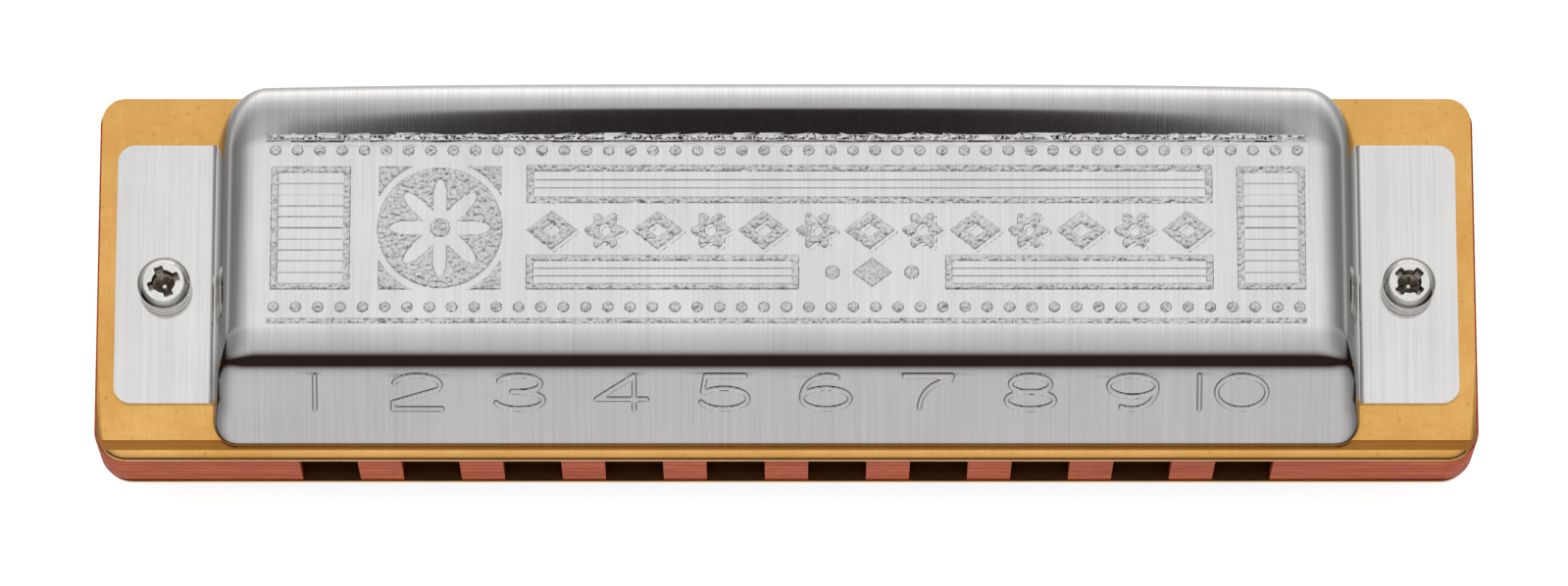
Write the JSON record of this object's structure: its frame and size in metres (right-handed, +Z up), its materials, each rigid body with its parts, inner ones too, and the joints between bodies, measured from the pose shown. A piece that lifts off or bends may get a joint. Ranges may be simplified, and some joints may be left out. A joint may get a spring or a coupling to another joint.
{
  "type": "harmonica",
  "caption": "Diatonic harmonica: wooden comb between two brass reed plates with sprung reeds, under two pressed steel covers held by long screws and nuts.",
  "frame": {"origin": "under the middle of the instrument's box, on the surface that its lower cover lies on", "axes": "+X along the mouth holes from low to high, +Y from the mouth to the back, +Z up through the comb"},
  "size_m": [0.102, 0.0276, 0.0196],
  "materials": {
    "comb_wood": "stained, sealed fine-grained hardwood, satin",
    "plate_brass": "rolled brass sheet, finely brushed, satin",
    "reed_brass": "ground spring brass",
    "rivet_brass": "bright brass",
    "cover_steel": "stainless sheet, brushed across its length",
    "screw_steel": "polished nickel plate",
    "plate_screw_steel": "zinc-plated steel"
  },
  "bodies": {
    "body": {"comb": "comb_wood", "upper_reed_plate": "plate_brass", "lower_reed_plate": "plate_brass", "upper_cover": "cover_steel", "lower_cover": "cover_steel", "blow_reed_pads": "reed_brass", "draw_reed_pads": "reed_brass", "blow_reed_rivets": "rivet_brass", "draw_reed_rivets": "rivet_brass", "cover_screws": "screw_steel", "cover_nuts": "screw_steel", "upper_plate_screws": "plate_screw_steel", "lower_plate_screws": "plate_screw_steel"},
    "blow_reed_01": {"blow_reed_01": "reed_brass"},
    "blow_reed_02": {"blow_reed_02": "reed_brass"},
    "blow_reed_03": {"blow_reed_03": "reed_brass"},
    "blow_reed_04": {"blow_reed_04": "reed_brass"},
    "blow_reed_05": {"blow_reed_05": "reed_brass"},
    "blow_reed_06": {"blow_reed_06": "reed_brass"},
    "blow_reed_07": {"blow_reed_07": "reed_brass"},
    "blow_reed_08": {"blow_reed_08": "reed_brass"},
    "blow_reed_09": {"blow_reed_09": "reed_brass"},
    "blow_reed_10": {"blow_reed_10": "reed_brass"},
    "draw_reed_01": {"draw_reed_01": "reed_brass"},
    "draw_reed_02": {"draw_reed_02": "reed_brass"},
    "draw_reed_03": {"draw_reed_03": "reed_brass"},
    "draw_reed_04": {"draw_reed_04": "reed_brass"},
    "draw_reed_05": {"draw_reed_05": "reed_brass"},
    "draw_reed_06": {"draw_reed_06": "reed_brass"},
    "draw_reed_07": {"draw_reed_07": "reed_brass"},
    "draw_reed_08": {"draw_reed_08": "reed_brass"},
    "draw_reed_09": {"draw_reed_09": "reed_brass"},
    "draw_reed_10": {"draw_reed_10": "reed_brass"}
  },
  "joints": [
    {"name": "blow_reed_swing_01", "type": "hinge", "parent": "body", "child": "blow_reed_01", "pos_m": [-0.03375, 0.00592, 0.01277], "axis": [1, 0, 0], "range_deg": [-3, 3], "stiffness_Nm_per_rad": 0.0567},
    {"name": "blow_reed_swing_02", "type": "hinge", "parent": "body", "child": "blow_reed_02", "pos_m": [-0.02625, 0.0053, 0.01277], "axis": [1, 0, 0], "range_deg": [-3, 3], "stiffness_Nm_per_rad": 0.0591},
    {"name": "blow_reed_swing_03", "type": "hinge", "parent": "body", "child": "blow_reed_03", "pos_m": [-0.01875, 0.00468, 0.01277], "axis": [1, 0, 0], "range_deg": [-3, 3], "stiffness_Nm_per_rad": 0.0617},
    {"name": "blow_reed_swing_04", "type": "hinge", "parent": "body", "child": "blow_reed_04", "pos_m": [-0.01125, 0.00406, 0.01277], "axis": [1, 0, 0], "range_deg": [-3, 3], "stiffness_Nm_per_rad": 0.0646},
    {"name": "blow_reed_swing_05", "type": "hinge", "parent": "body", "child": "blow_reed_05", "pos_m": [-0.00375, 0.00344, 0.01277], "axis": [1, 0, 0], "range_deg": [-3, 3], "stiffness_Nm_per_rad": 0.0678},
    {"name": "blow_reed_swing_06", "type": "hinge", "parent": "body", "child": "blow_reed_06", "pos_m": [0.00375, 0.00281, 0.01277], "axis": [1, 0, 0], "range_deg": [-3, 3], "stiffness_Nm_per_rad": 0.0712},
    {"name": "blow_reed_swing_07", "type": "hinge", "parent": "body", "child": "blow_reed_07", "pos_m": [0.01125, 0.00219, 0.01277], "axis": [1, 0, 0], "range_deg": [-3, 3], "stiffness_Nm_per_rad": 0.0751},
    {"name": "blow_reed_swing_08", "type": "hinge", "parent": "body", "child": "blow_reed_08", "pos_m": [0.01875, 0.00157, 0.01277], "axis": [1, 0, 0], "range_deg": [-3, 3], "stiffness_Nm_per_rad": 0.0794},
    {"name": "blow_reed_swing_09", "type": "hinge", "parent": "body", "child": "blow_reed_09", "pos_m": [0.02625, 0.00095, 0.01277], "axis": [1, 0, 0], "range_deg": [-3, 3], "stiffness_Nm_per_rad": 0.0843},
    {"name": "blow_reed_swing_10", "type": "hinge", "parent": "body", "child": "blow_reed_10", "pos_m": [0.03375, 0.00032, 0.01277], "axis": [1, 0, 0], "range_deg": [-3, 3], "stiffness_Nm_per_rad": 0.0897},
    {"name": "draw_reed_swing_01", "type": "hinge", "parent": "body", "child": "draw_reed_01", "pos_m": [-0.03375, -0.00628, 0.00568], "axis": [1, 0, 0], "range_deg": [-3, 3], "stiffness_Nm_per_rad": 0.0567},
    {"name": "draw_reed_swing_02", "type": "hinge", "parent": "body", "child": "draw_reed_02", "pos_m": [-0.02625, -0.00628, 0.00568], "axis": [1, 0, 0], "range_deg": [-3, 3], "stiffness_Nm_per_rad": 0.0591},
    {"name": "draw_reed_swing_03", "type": "hinge", "parent": "body", "child": "draw_reed_03", "pos_m": [-0.01875, -0.00628, 0.00568], "axis": [1, 0, 0], "range_deg": [-3, 3], "stiffness_Nm_per_rad": 0.0617},
    {"name": "draw_reed_swing_04", "type": "hinge", "parent": "body", "child": "draw_reed_04", "pos_m": [-0.01125, -0.00628, 0.00568], "axis": [1, 0, 0], "range_deg": [-3, 3], "stiffness_Nm_per_rad": 0.0646},
    {"name": "draw_reed_swing_05", "type": "hinge", "parent": "body", "child": "draw_reed_05", "pos_m": [-0.00375, -0.00628, 0.00568], "axis": [1, 0, 0], "range_deg": [-3, 3], "stiffness_Nm_per_rad": 0.0678},
    {"name": "draw_reed_swing_06", "type": "hinge", "parent": "body", "child": "draw_reed_06", "pos_m": [0.00375, -0.00628, 0.00568], "axis": [1, 0, 0], "range_deg": [-3, 3], "stiffness_Nm_per_rad": 0.0712},
    {"name": "draw_reed_swing_07", "type": "hinge", "parent": "body", "child": "draw_reed_07", "pos_m": [0.01125, -0.00628, 0.00568], "axis": [1, 0, 0], "range_deg": [-3, 3], "stiffness_Nm_per_rad": 0.0751},
    {"name": "draw_reed_swing_08", "type": "hinge", "parent": "body", "child": "draw_reed_08", "pos_m": [0.01875, -0.00628, 0.00568], "axis": [1, 0, 0], "range_deg": [-3, 3], "stiffness_Nm_per_rad": 0.0794},
    {"name": "draw_reed_swing_09", "type": "hinge", "parent": "body", "child": "draw_reed_09", "pos_m": [0.02625, -0.00628, 0.00568], "axis": [1, 0, 0], "range_deg": [-3, 3], "stiffness_Nm_per_rad": 0.0843},
    {"name": "draw_reed_swing_10", "type": "hinge", "parent": "body", "child": "draw_reed_10", "pos_m": [0.03375, -0.00628, 0.00568], "axis": [1, 0, 0], "range_deg": [-3, 3], "stiffness_Nm_per_rad": 0.0897}
  ]
}
